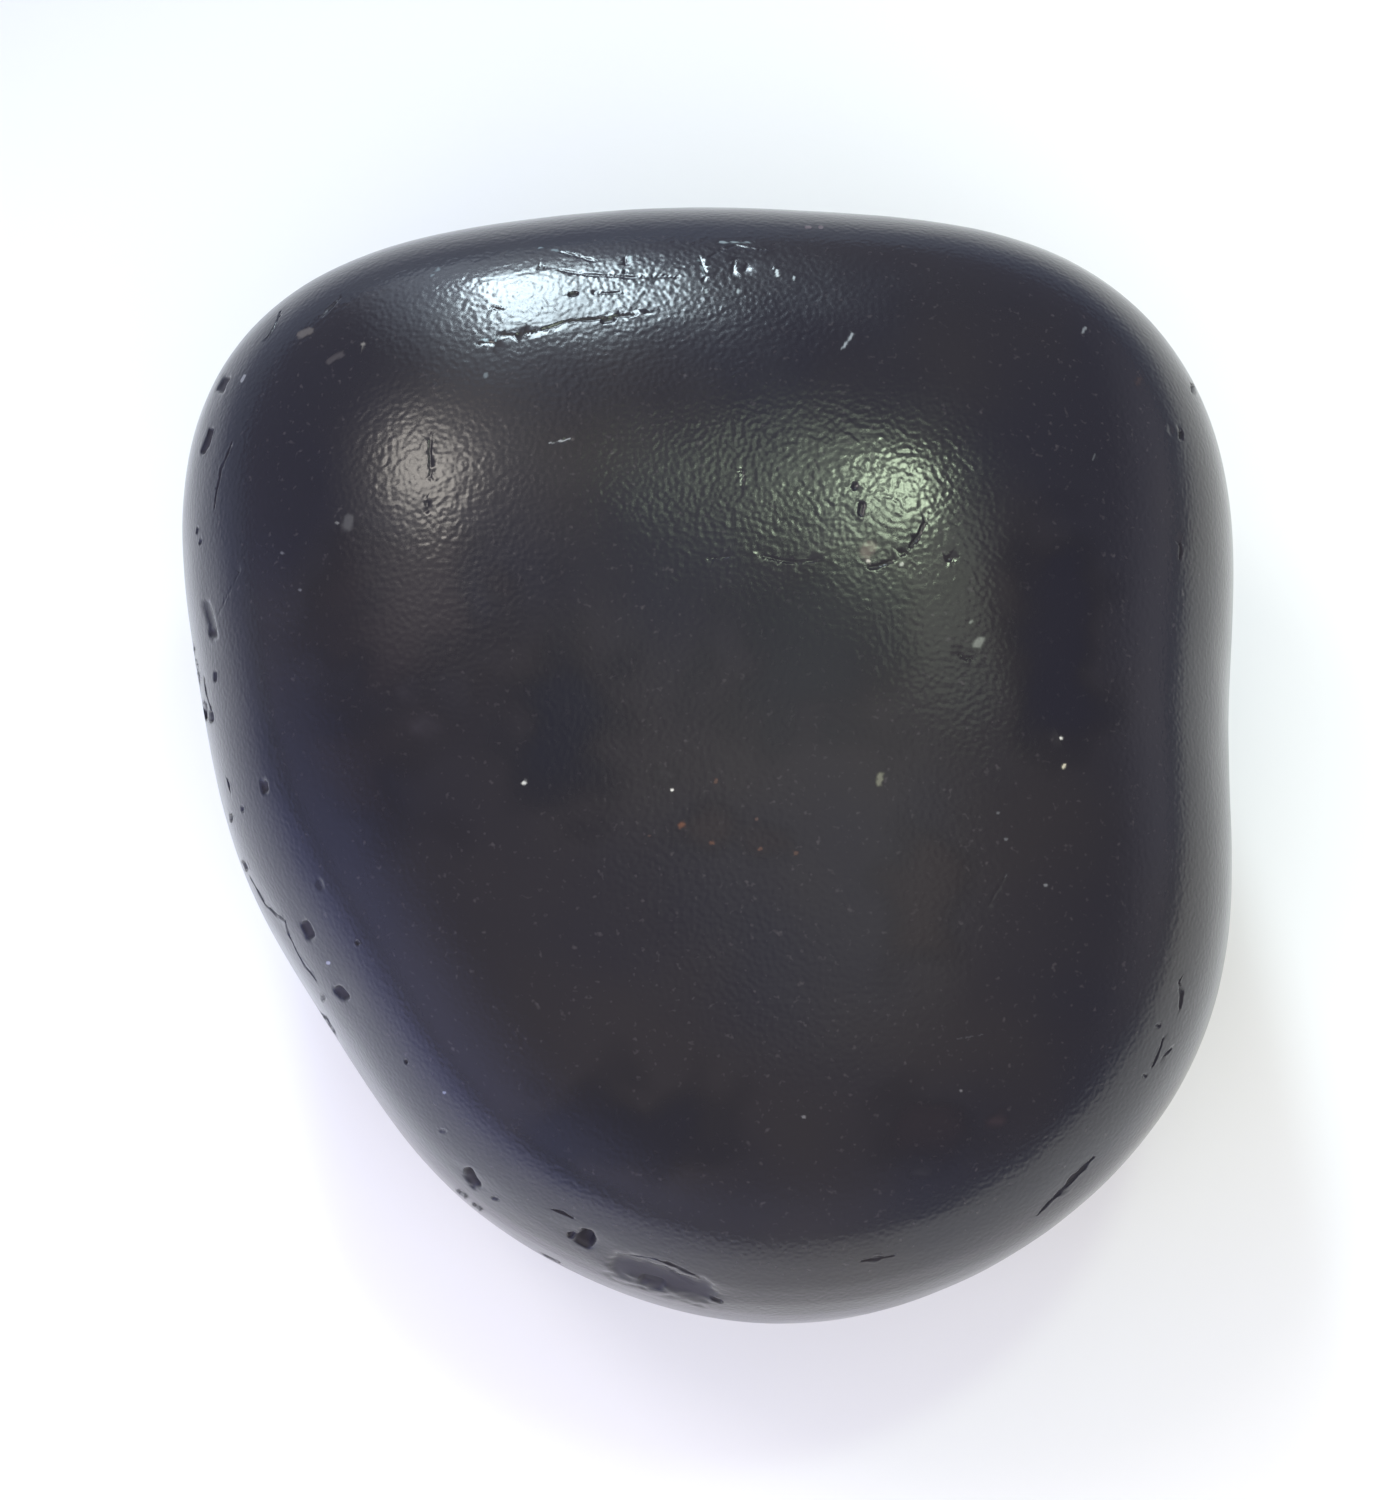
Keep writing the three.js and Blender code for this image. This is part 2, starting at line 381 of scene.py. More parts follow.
# %% [markdown]
# ## Colour in the stone
# The black isn't even. It has brownish clouds and paler mineral patches, a rusty one near the
# middle, and small chips and dust specks that are nearly white. Bluish and greenish clouds on the
# broad face are painted reflections of the room, and bright spots in the window's light, on the
# shoulder and on some rusty flecks are painted glints. Each is given by its pixel, its length and
# width as seen, its turn, its colour and how much of the black it covers.
# A cloud fades out softly, and a chip has a clear edge. Four patches aren't another colour, but
# rougher: there the light shows the worn growth rings of the fossil most.

# %% Clouds, rough patches, chips and painted glints
CLOUDS = {
    "left brown": (410, 620, 9, 12, 0, "#302a2d", 0.7),
    "left brown low": (350, 760, 6, 9, 0, "#2d282c", 0.6),
    "right brown": (925, 900, 9, 5, 80, "#332b2a", 0.6),
    "low brown": (930, 1120, 6, 5, 0, "#2e272b", 0.6),
    "rust cloud": (708, 828, 4, 3, 0, "#362e2d", 0.6),
    "rust cloud right": (770, 842, 3.5, 2, 0, "#332a2b", 0.5),
    # The green and bluish clouds are painted reflections of the room on the broad face.
    "green painted reflection": (820, 640, 14, 10, 60, "#23252a", 0.6),
    "bluish painted reflection left": (560, 720, 10, 7, 90, "#181a26", 0.7),
    "bluish painted reflection right": (1060, 640, 14, 6, 90, "#191927", 0.7),
    "bluish painted reflection low": (620, 1130, 12, 6, 0, "#1a1b27", 0.6),
    "pale left": (410, 691, 1.6, 1.2, 0, "#3c383f", 0.6),
    "pale left low": (422, 727, 1.8, 1.2, 0, "#3c383f", 0.6),
    "pale middle": (665, 775, 1.6, 1.2, 0, "#3d3a3c", 0.6),
    "pink low": (998, 1120, 1.4, 0.9, 20, "#4a3c40", 0.6),
    "grey low": (922, 1173, 1.6, 1.0, 0, "#3e3d42", 0.5),
}
ROUGH_PATCHES = {
    "window light": (600, 300, 24, 8, 355),
    "shoulder": (740, 265, 12, 5, 355),
    "lamp light": (430, 470, 10, 8, 90),
    "fossil": (860, 490, 14, 8, 340),
}
CHIPS_AND_GLINTS = {
    "arc mineral": (868, 550, 1.30, 0.85, 60, "#8a7a70", 0.55),
    "arc chip": (868, 561, 0.34, 0.24, 0, "#c9c4b8", 0.9),
    "arc chip right": (902, 564, 0.36, 0.26, 30, "#b4b8ac", 0.9),
    "face chip": (979, 642, 0.90, 0.56, 45, "#949890", 0.7),
    "face chip low": (971, 622, 0.40, 0.28, 45, "#8f948c", 0.7),
    "face streak": (742, 478, 0.85, 0.20, 80, "#8b9487", 0.7),
    "dust": (524, 783, 0.32, 0.22, 20, "#d6d6d0", 0.9),
    "dust middle": (672, 790, 0.26, 0.24, 0, "#e6e4dc", 0.9),
    "dust right": (1061, 738, 0.27, 0.24, 0, "#ecebe2", 0.9),
    "dust right low": (1064, 766, 0.38, 0.26, 60, "#d2ccb6", 0.9),
    "beige spot": (880, 779, 0.90, 0.50, 80, "#7d7d6c", 0.8),
    "rust spot": (681, 825, 0.60, 0.46, 20, "#6c4735", 0.85),
    "rust fleck": (712, 843, 0.36, 0.24, 0, "#6e4a38", 0.7),
    # These five small flecks are painted glints with a rusty tint.
    "rusty glint right": (760, 849, 0.36, 0.24, 30, "#6a4a3c", 0.7),
    "rusty glint far": (796, 853, 0.30, 0.24, 0, "#634a3e", 0.7),
    "rusty glint top": (716, 781, 0.34, 0.24, 60, "#6a5044", 0.7),
    "rusty glint high": (757, 819, 0.30, 0.24, 0, "#66504a", 0.7),
    "rusty glint left": (649, 836, 0.30, 0.20, 0, "#66504a", 0.6),
    "corner chip": (305, 333, 1.20, 0.55, 25, "#847c78", 0.6),
    "corner chip right": (335, 358, 1.40, 0.50, 30, "#756e70", 0.5),
    "corner dot": (363, 344, 0.30, 0.22, 0, "#9a9490", 0.7),
    "left patch": (348, 522, 1.15, 0.75, 70, "#6b6a6c", 0.6),
    "left patch dot": (337, 523, 0.36, 0.26, 0, "#8a898a", 0.7),
    "left tick": (243, 378, 0.60, 0.20, 60, "#a8a8ae", 0.7),
    "scratch white": (847, 342, 1.4, 0.26, 57, "#b4bcc2", 0.75),
    "hair scratch white": (560, 441, 1.40, 0.12, 12, "#b9bcc0", 0.8),
    # The bluish-white spots in the window's light and on the shoulder are painted glints of the
    # window.
    "window glint edge": (488, 340, 1.10, 0.20, 0, "#b8d0d8", 0.8),
    "window glint top edge": (556, 250, 2.20, 0.16, 352, "#a8bcc4", 0.6),
    "window glint": (630, 259, 0.50, 0.26, 100, "#cfe2e6", 0.8),
    "shoulder glint edge": (737, 242, 2.20, 0.16, 0, "#a9b8be", 0.7),
    "shoulder glint": (777, 273, 0.50, 0.22, 100, "#d2dde0", 0.9),
    "shoulder glint right": (794, 278, 0.34, 0.22, 90, "#c0cbd0", 0.8),
    "shoulder glint low": (738, 291, 0.34, 0.24, 90, "#b8c4c8", 0.8),
    "shoulder glint left": (706, 291, 0.34, 0.24, 90, "#b8c4c8", 0.8),
    "shoulder glint line": (702, 268, 1.50, 0.18, 110, "#9fb0b6", 0.7),
    "top pink": (808, 227, 0.50, 0.26, 0, "#8c7a80", 0.6),
    "top pink right": (821, 227, 0.36, 0.24, 0, "#8c7a80", 0.6),
    # Three more painted glints of the window.
    "window glint low dot": (486, 375, 0.45, 0.36, 80, "#7d868c", 0.7),
    "window glint low dash": (464, 362, 0.80, 0.24, 355, "#8d969c", 0.7),
    "corner window glint": (435, 272, 0.80, 0.26, 40, "#8fa0a8", 0.6),
    "right speck": (1046, 885, 0.30, 0.22, 0, "#9a9ca0", 0.7),
    "right speck low": (1007, 874, 0.60, 0.14, 60, "#8a8c90", 0.6),
    "low scratch": (975, 1036, 2.20, 0.13, 10, "#66646a", 0.6),
    "low speck": (961, 1091, 0.28, 0.22, 0, "#8a888c", 0.7),
    "low speck left": (804, 1117, 0.28, 0.22, 0, "#8a888c", 0.7),
    "slant speck": (444, 1093, 0.28, 0.22, 0, "#9aa0b4", 0.7),
    "slant speck high": (328, 963, 0.32, 0.26, 0, "#b0b2c4", 0.7),
    "left speck": (300, 590, 0.28, 0.22, 0, "#8c8c94", 0.6),
    "left speck high": (282, 553, 0.28, 0.22, 0, "#8c8c94", 0.6),
    "right corner speck": (1084, 330, 0.50, 0.20, 60, "#a0a4a8", 0.7),
    "right face speck": (1094, 457, 0.44, 0.18, 70, "#74787c", 0.7),
    "right face speck low": (998, 813, 0.28, 0.22, 0, "#8a8c90", 0.6),
    "right face speck lower": (1006, 839, 0.28, 0.22, 0, "#8a8c90", 0.6),
    "right brown mark": (1139, 381, 0.70, 0.45, 60, "#4a3a38", 0.6),
}
print(len(CLOUDS), "clouds and", len(CHIPS_AND_GLINTS), "chips_and_glints")

# %% [markdown]
# ## Measuring a mark
# All marks are measured in one way, as a line with a half width. For a mark that is seen in the
# photo, distances are taken as the camera sees them, so a mark near the rim comes out as long
# across the stone as it must be there. The edge wanders a little, as worn stone does, and a
# crack is thinner at its tips and uneven in between.

# %% Marks as lines
RAGGED = 0.2
RAGGED_SIZE = 0.7 * MM
TIP_WIDTH = 0.35
UNEVEN = 1.3
UNEVEN_SIZE = 0.8 * MM
WIDTH_LIMITS = 0.3, 1.3
WANDER, WANDER_SIZE = 0.05 * MM, 0.9 * MM
PIXELS_APART = 5
SHORTEST_LINE = 0.02
STEEPEST_SLANT = 0.2
ROOM_BESIDE = 0.2 * MM
# The side steps of a crack come from a noise that is seeded, so that they are the same each time.
noise.seed_set(7)


class Mark:
    """A line on the stone with a half width. Its outline is ragged, and its ends may taper."""

    def __init__(self, line, half_width, towards=None, slant=1.0, tapers=False):
        self.line = np.array(line, float)
        self.half_width = half_width
        self.towards = towards
        self.tapers = tapers
        room = 1.5 * half_width / max(slant, STEEPEST_SLANT) + ROOM_BESIDE
        self.low = self.line.min(axis=0) - room
        self.high = self.line.max(axis=0) + room

    def near(self, places):
        """The numbers of the places that the mark can reach."""
        inside = (places > self.low) & (places < self.high)
        return np.flatnonzero(inside.all(axis=1))

    def share(self, places, ragged=RAGGED, rough_size=RAGGED_SIZE):
        """0 on the line, 1 at the mark's edge and more outside it."""
        flat = places - self.line[0]
        line = self.line - self.line[0]
        if self.towards is not None:
            flat = flat - np.outer(flat @ self.towards, self.towards)
            line = line - np.outer(line @ self.towards, self.towards)
        best = np.full(len(places), np.inf)
        along = np.zeros(len(places))
        for i, (start, end) in enumerate(zip(line[:-1], line[1:])):
            step = end - start
            t = np.clip((flat - start) @ step / max(step @ step, 1e-14), 0, 1)
            gap = np.linalg.norm(flat - start - t[:, None] * step, axis=1)
            along = np.where(gap < best, (i + t) / (len(line) - 1), along)
            best = np.minimum(best, gap)
        width = np.full(len(places), self.half_width)
        if self.tapers:
            uneven = np.array([noise.noise(Vector(p) / UNEVEN_SIZE) for p in places])
            width = width * (TIP_WIDTH + (1 - TIP_WIDTH) * np.sin(np.pi * along))
            width = width * np.clip(0.9 + UNEVEN * uneven, *WIDTH_LIMITS)
        if ragged:
            rough = np.array([noise.noise(Vector(p) / rough_size) for p in places])
            width = width * (1 + 2 * ragged * rough)
        return best / width


def seen_oval(x, y, length, width, turn):
    """An oval mark at a pixel, with its size and turn as the camera sees them."""
    point, facing = seen(x, y)
    sight = sight_line(x, y)
    angle = math.radians(turn)
    along = camera_right * math.cos(angle) + camera_up * math.sin(angle)
    reach = max(length - width, SHORTEST_LINE) / 2 * MM
    line = [point - along * reach, point + along * reach]
    return Mark(line, width / 2 * MM, np.array(sight), -sight.dot(facing))


def seen_line(route, width):
    """A line mark through pixels. It wanders a little to the sides, as a crack does."""
    line = []
    slant = 1.0
    for (x0, y0), (x1, y1) in zip(route[:-1], route[1:]):
        pieces = max(2, round(math.hypot(x1 - x0, y1 - y0) / PIXELS_APART))
        for i in range(pieces + 1):
            t = i / pieces
            point, facing = seen(x0 + (x1 - x0) * t, y0 + (y1 - y0) * t)
            slant = min(slant, -sight_line(x0, y0).dot(facing))
            line.append(point + noise.noise_vector(point / WANDER_SIZE) * WANDER)
    return Mark(line, width / 2 * MM, np.array(sight_line(*route[0])), slant, tapers=True)


def hidden_oval(bearing, height, length, width, turn):
    """An oval mark on the hidden side, with its real size."""
    point, facing = hidden(bearing, height)
    level = Vector((0, 0, 1)).cross(facing).normalized()
    along = level * math.cos(math.radians(turn)) + facing.cross(level) * math.sin(math.radians(turn))
    reach = max(length - width, SHORTEST_LINE) / 2 * MM
    return Mark([point - along * reach, point + along * reach], width / 2 * MM)


example = seen_oval(*PITS["rim long"][:4], PITS["rim long"][5])
print("the long rim pit is at", [round(c / MM, 1) for c in example.line[0]], "mm")

# %% [markdown]
# ## Carving
# Each mark has a depth and a wall: the part of its half width over which it slopes down. A
# crack is all wall, and pits and the hollow keep a small flat floor.

# %% All that is carved
PIT_WALL, HOLLOW_WALL, CRACK_WALL = 0.9, 0.8, 1.0

carved = []
for x, y, length, width, depth, turn in PITS.values():
    carved.append((seen_oval(x, y, length, width, turn), depth * MM, PIT_WALL))
for bearing, height, length, width, depth, turn in BACK_PITS.values():
    carved.append((hidden_oval(bearing, height, length, width, turn), depth * MM, PIT_WALL))
for route, width, depth in HOLLOW.values():
    line = seen_line(route, width)
    line.tapers = False
    carved.append((line, depth * MM, HOLLOW_WALL))
for route, width, depth in [*HOLLOW_LIP.values(), *CRACKS.values()]:
    carved.append((seen_line(route, width), depth * MM, CRACK_WALL))
for route, width, depth in BACK_CRACKS.values():
    line = [hidden(bearing, height)[0] for bearing, height in route]
    carved.append((Mark(line, width / 2 * MM, tapers=True), depth * MM, CRACK_WALL))

chips_and_glints = []
for x, y, length, width, turn, colour, cover in CHIPS_AND_GLINTS.values():
    chips_and_glints.append((seen_oval(x, y, length, width, turn), linear(colour), cover, length > 3 * width))
clouds = []
for x, y, length, width, turn, colour, cover in CLOUDS.values():
    clouds.append((seen_oval(x, y, length, width, turn), linear(colour), cover))
print(len(carved), "carved marks,", len(chips_and_glints), "chips and", len(clouds), "clouds")

# %% [markdown]
# ## A finer mesh beside the marks
# A mesh fine enough for a crack would have millions of triangles all over. So the faces are
# split only at the marks, in three rounds that each keep closer to them. The last round is for
# narrow marks alone. The subdivide operator's smoothness puts the new corners on the rounded
# surface, not on the flat face.

# %% Splitting faces
SPLITS = [
    # The share of a mark's half width and the millimetres beside it that are split.
    (1.15, 0.45),
    (1.05, 0.16),
    (1.00, 0.05),
]
FINE_WIDTH = 0.42 * MM


def wants_split(places, reach, margin, last_round):
    """Which places are inside a mark or within a margin of it."""
    wanted = np.zeros(len(places), bool)
    for mark in [m for m, *_ in carved] + [m for m, *_ in chips_and_glints]:
        if last_round and 2 * mark.half_width > FINE_WIDTH:
            continue
        rows = mark.near(places)
        if len(rows):
            gap = (mark.share(places[rows], ragged=0) - reach) * mark.half_width
            wanted[rows] |= gap < margin * MM
    return wanted


def split_faces(piece, chosen):
    """Splits the chosen faces into four, with the new corners on the rounded surface."""
    only(piece)
    bpy.ops.object.mode_set(mode="EDIT")
    bpy.ops.mesh.select_mode(type="FACE")
    bpy.ops.mesh.select_all(action="DESELECT")
    bpy.ops.object.mode_set(mode="OBJECT")
    piece.data.polygons.foreach_set("select", chosen)
    bpy.ops.object.mode_set(mode="EDIT")
    bpy.ops.mesh.subdivide(number_cuts=1, smoothness=1.0)
    bpy.ops.object.mode_set(mode="OBJECT")


for level, (reach, margin) in enumerate(SPLITS):
    centres = np.empty(3 * len(stone.data.polygons))
    stone.data.polygons.foreach_get("center", centres)
    chosen = wants_split(centres.reshape(-1, 3), reach, margin, level == len(SPLITS) - 1)
    split_faces(stone, chosen)
    print("split", int(chosen.sum()), "faces, now", len(stone.data.polygons))

# %% [markdown]
# The marks are pressed in by a Displace modifier, which moves each corner by its own weight.
# Beside a mark the stone keeps a very low worn lip, and all over it is a little wavy, because
# a river doesn't grind a stone as evenly as a lathe would.

# %% Carving the marks
LIP_HEIGHT = 0.011 * MM
LIP_PLACE, LIP_SPREAD = 1.25, 0.22
NO_LIP_DEPTH = 0.02 * MM
WAVINESS, WAVE_SIZE = 0.03 * MM, 3.2 * MM


def smooth_step(t):
    """Goes from 0 to 1 with soft ends."""
    t = np.clip(t, 0, 1)
    return t * t * (3 - 2 * t)


def displace_by(piece, amounts, name):
    """Moves each corner along its normal by its own amount, by a weighted Displace modifier."""
    furthest = float(np.abs(amounts).max())
    group = piece.vertex_groups.new(name=name)
    for index in np.flatnonzero(amounts):
        group.add([int(index)], float(abs(amounts[index]) / furthest), "REPLACE")
    sign = 1 if amounts.sum() > 0 else -1
    apply_modifier(piece, "DISPLACE", strength=sign * furthest, mid_level=0, vertex_group=name)
    piece.vertex_groups.remove(piece.vertex_groups[name])


places = coordinates(stone.data)
depths = np.zeros(len(places))
lips = np.zeros(len(places))
for mark, depth, wall in carved:
    rows = mark.near(places)
    if not len(rows):
        continue
    share = mark.share(places[rows])
    depths[rows] = np.maximum(depths[rows], depth * smooth_step((1 - share) / wall))
    lip = LIP_HEIGHT * np.exp(-(((share - LIP_PLACE) / LIP_SPREAD) ** 2))
    lips[rows] = np.maximum(lips[rows], lip)
lips[(depths > NO_LIP_DEPTH) | (lips < 0.1 * LIP_HEIGHT)] = 0
waves = np.array([0.5 + 0.5 * noise.noise(Vector(p) / WAVE_SIZE) for p in places])
displace_by(stone, -depths - WAVINESS * waves, "carved")
displace_by(stone, lips, "lips")
print("the deepest mark is", round(depths.max() / MM, 2), "mm")

# %% [markdown]
# ## Painting the clouds, chips and painted glints
# Where a mark is carved, the polish is gone and dust sits in it, and the deeper marks also get a
# darker painted shade. That, the colours and the rough patches are stored on the mesh's corners as
# three attributes, which the finish reads.

# %% Paint and polish on the corners
FULLY_DULL = 0.26 * MM
DEEP_FROM, DEEP_TO = 0.16 * MM, 0.40 * MM
DUSTY, PAINTED_PIT_SHADE = linear("#39363c"), linear("#252227")
CLOUD_RAGGED = 0.45
CLOUD_ROUGH_SIZE = 2.4 * MM
CLOUD_REACH, CLOUD_FADE = 1.4, 1.2

dull = stone.data.attributes.new("dull", "FLOAT", "POINT")
dull.data.foreach_set("value", smooth_step(depths / FULLY_DULL).astype(np.float32))

stain_and_painted_light = np.zeros((len(places), 4))
everywhere = np.arange(len(places))


def paint(rows, colour, amount):
    """Lays a colour over the corners, by an amount from 0 to 1."""
    stain_and_painted_light[rows, :3] += (np.array(colour[:3]) - stain_and_painted_light[rows, :3]) * amount[:, None]
    stain_and_painted_light[rows, 3] = np.maximum(stain_and_painted_light[rows, 3], amount)


# Clouds are laid on here, the painted reflections among them.
for mark, colour, cover in clouds:
    rows = mark.near(places)
    share = mark.share(places[rows], CLOUD_RAGGED, CLOUD_ROUGH_SIZE)
    paint(rows, colour, cover * smooth_step((CLOUD_REACH - share) / CLOUD_FADE))
paint(everywhere, DUSTY, smooth_step(depths / FULLY_DULL))
# Deeper marks are painted darker still: this is painted shade in the pits, not dust.
paint(everywhere, PAINTED_PIT_SHADE, smooth_step((depths - DEEP_FROM) / (DEEP_TO - DEEP_FROM)))
print(int((stain_and_painted_light[:, 3] > 0).sum()), "corners carry clouds or dust")

# %% Chips, painted glints and rough patches
CHIP_AND_GLINT_REACH, CHIP_AND_GLINT_FADE = 1.1, 0.5
BREAK_SIZE = 0.3 * MM
UNBROKEN, BREAKS = 0.7, 2.2

# Chips and dust specks are laid on here, and the painted glints with them.
for mark, colour, cover, long in chips_and_glints:
    rows = mark.near(places)
    amount = cover * smooth_step((CHIP_AND_GLINT_REACH - mark.share(places[rows])) / CHIP_AND_GLINT_FADE)
    if long:
        broken = np.array([noise.noise(Vector(p) / BREAK_SIZE) for p in places[rows]])
        amount = amount * smooth_step(UNBROKEN + BREAKS * broken)
    paint(rows, colour, amount)
tint = stone.data.attributes.new("stain_and_painted_light", "FLOAT_COLOR", "POINT")
tint.data.foreach_set("color", stain_and_painted_light.astype(np.float32).ravel())

rough = np.zeros(len(places))
for x, y, length, width, turn in ROUGH_PATCHES.values():
    mark = seen_oval(x, y, length, width, turn)
    rows = mark.near(places)
    share = mark.share(places[rows], CLOUD_RAGGED, CLOUD_ROUGH_SIZE)
    rough[rows] = np.maximum(rough[rows], smooth_step(CLOUD_REACH - share))
roughened = stone.data.attributes.new("rough", "FLOAT", "POINT")
roughened.data.foreach_set("value", rough.astype(np.float32))
print(int((stain_and_painted_light[:, 3] > 0).sum()), "corners are coloured,", int((rough > 0).sum()), "are rougher")

# %% [markdown]
# ## The finish
# The rock is a dense black limestone or shale, polished by the river and darkened by oil. That gives
# the eye a deep charcoal with faint brown clouds, a satin shine that spreads each lamp into a soft
# spot, and a fine grain that breaks the spot into glints. Over it lie painted bluish and greenish
# reflections, painted glints and painted shade in the deeper pits.
# Its material is built in three parts, each from nodes: the colour, the shine and the relief.
# All patterns read the object's own coordinates, so they stay on the stone when it moves.

# %% Nodes and the size of a pattern
def add(tree, kind, links=(), **settings):
    """Adds one node, sets its properties and inputs, and links its inputs by name or number."""
    node = tree.nodes.new(kind)
    for name, value in settings.items():
        if hasattr(node, name):
            setattr(node, name, value)
        else:
            node.inputs[name.replace("_", " ")].default_value = value
    for name, socket in dict(links).items():
        tree.links.new(socket, node.inputs[name])
    return node


def per_size(size):
    """The noise scale that gives grains of about this size, in millimetres."""
    return 0.5 / (size * MM)


print("grains of 1 mm need a noise scale of", round(per_size(1)))

# %% [markdown]
# The colour has three layers. The black itself drifts between navy and brown. Faint dust lies in its
# grain: real dust is finer, and is drawn just coarse enough to show. On top come the colours that
# were painted on the corners: stains, dust in the marks, and painted shade, painted reflections and
# painted glints.

# %% The colour of the rock
CLOUDING_SIZE = 9
NAVY_BLACK, BROWN_BLACK = linear("#1e1d25"), linear("#262325")
SPECK_SIZE = 0.18
SPECK_COVER = 0.45
PALE_SPECK = linear("#524d50")


def rock_colour(tree, place):
    """Clouded black with faint specks, under the painted stains, painted shade, painted reflections
    and painted glints.
    """
    clouding = add(
        tree, "ShaderNodeTexNoise", {"Vector": place}, Scale=per_size(CLOUDING_SIZE), Detail=2.0
    )
    tints = add(tree, "ShaderNodeValToRGB", {"Fac": clouding.outputs["Fac"]})
    tints.color_ramp.elements[0].position = 0.38
    tints.color_ramp.elements[0].color = NAVY_BLACK
    tints.color_ramp.elements[1].position = 0.62
    tints.color_ramp.elements[1].color = BROWN_BLACK

    dusting = add(
        tree, "ShaderNodeTexNoise", {"Vector": place}, Scale=per_size(SPECK_SIZE), Detail=1.0
    )
    specks = add(
        tree, "ShaderNodeMapRange", {"Value": dusting.outputs["Fac"]},
        From_Min=0.66, From_Max=0.84, To_Min=0.0, To_Max=SPECK_COVER,
    )
    speckled = add(
        tree, "ShaderNodeMix",
        {0: specks.outputs["Result"], 6: tints.outputs["Color"]}, data_type="RGBA",
    )
    speckled.inputs[7].default_value = PALE_SPECK

    painted_layer = add(tree, "ShaderNodeAttribute", attribute_name="stain_and_painted_light")
    painted_stone = add(
        tree, "ShaderNodeMix",
        {0: painted_layer.outputs["Alpha"], 6: speckled.outputs[2], 7: painted_layer.outputs["Color"]},
        data_type="RGBA",
    )
    return painted_stone.outputs[2]


print("the clouds are about", CLOUDING_SIZE, "mm wide and the specks", SPECK_SIZE, "mm")

# %% [markdown]
# The shine is a satin polish that changes a little in slow smears, as hands leave it. In a pit
# or a crack the polish is broken, and the rock is matt.

# %% The shine of the rock
SMEAR_SIZE = 3
SATIN_BRIGHT, SATIN_SOFT, MATT = 0.15, 0.21, 0.65


def rock_shine(tree, place):
    """Satin in slow smears, and matt where a mark has broken the polish."""
    smear = add(
        tree, "ShaderNodeTexNoise", {"Vector": place}, Scale=per_size(SMEAR_SIZE), Detail=1.0
    )
    shine = add(
        tree, "ShaderNodeMapRange", {"Value": smear.outputs["Fac"]},
        From_Min=0.3, From_Max=0.7, To_Min=SATIN_BRIGHT, To_Max=SATIN_SOFT,
    )
    dulled = add(tree, "ShaderNodeAttribute", attribute_name="dull")
    roughness = add(
        tree, "ShaderNodeMix",
        {0: dulled.outputs["Fac"], 2: shine.outputs["Result"]}, data_type="FLOAT",
    )
    roughness.inputs[3].default_value = MATT
    return roughness.outputs[0]


print("roughness", SATIN_BRIGHT, "to", SATIN_SOFT, "where polished and", MATT, "where broken")

# %% [markdown]
# The relief is what breaks a lamp's spot into glints. The grain of such rock is a few
# hundredths of a millimetre, too fine to show, so it is drawn 0.15 mm wide. The worn growth rings
# of the fossil are wider apart. They are clearest in the rough patches and faint elsewhere.

# %% The relief of the rock
GRAIN_SIZE, GRAIN_HEIGHT = 0.15, 0.014 * MM
RING_SPACING, RING_HEIGHT = 0.9 * MM, 0.008 * MM
RINGS_FAINT, RINGS_CLEAR = 0.14, 0.55
WAVE_RADIANS_PER_UNIT = 20


def rock_relief(tree, place):
    """Fine grain, with the worn growth rings over it."""
    grain = add(
        tree, "ShaderNodeTexNoise", {"Vector": place}, Scale=per_size(GRAIN_SIZE), Detail=0.0
    )
    fine = add(
        tree, "ShaderNodeBump", {"Height": grain.outputs["Fac"]},
        Strength=1.0, Distance=GRAIN_HEIGHT,
    )
    rings = add(
        tree, "ShaderNodeTexWave", {"Vector": place}, wave_type="RINGS", rings_direction="Z",
        Scale=2 * math.pi / (WAVE_RADIANS_PER_UNIT * RING_SPACING),
        Distortion=7.0, Detail=1.0, Detail_Scale=2.5,
    )
    where = add(tree, "ShaderNodeAttribute", attribute_name="rough")
    ring_strength = add(
        tree, "ShaderNodeMapRange", {"Value": where.outputs["Fac"]},
        To_Min=RINGS_FAINT, To_Max=RINGS_CLEAR,
    )
    coarse = add(
        tree, "ShaderNodeBump",
        {
            "Height": rings.outputs["Fac"],
            "Normal": fine.outputs["Normal"],
            "Strength": ring_strength.outputs["Result"],
        },
        Distance=RING_HEIGHT,
    )
    return coarse.outputs["Normal"]


print("grain of", GRAIN_SIZE, "mm and rings", round(RING_SPACING / MM, 1), "mm apart")

# %% Polished black rock
LIMESTONE_IOR = 1.5


def polished_black_rock():
    """Polished black limestone: charcoal under a satin shine that is broken by fine grain."""
    material = bpy.data.materials.new("polished_black_limestone")
    material.use_nodes = True
    tree = material.node_tree
    shader = tree.nodes["Principled BSDF"]
    place = add(tree, "ShaderNodeTexCoord").outputs["Object"]
    tree.links.new(rock_colour(tree, place), shader.inputs["Base Color"])
    tree.links.new(rock_shine(tree, place), shader.inputs["Roughness"])
    tree.links.new(rock_relief(tree, place), shader.inputs["Normal"])
    shader.inputs["IOR"].default_value = LIMESTONE_IOR
    return material


stone.data.materials.append(polished_black_rock())
only(stone)
bpy.ops.object.shade_smooth()
print("the stone has", len(stone.data.polygons), "faces")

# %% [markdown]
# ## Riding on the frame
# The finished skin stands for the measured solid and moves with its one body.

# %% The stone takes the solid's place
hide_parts("stone")
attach(stone, "root")
print(stone.name, "stands for the solid")

# %% [markdown]
# ## The table
# A plain pale table, much larger than the stone, fills the picture. It isn't part of the stone.
# Well outside the picture its colour is painted darker, a painted falloff of light as a table has
# away from its lamp. The stone's edge mirrors that as a rim that fades softly inwards.

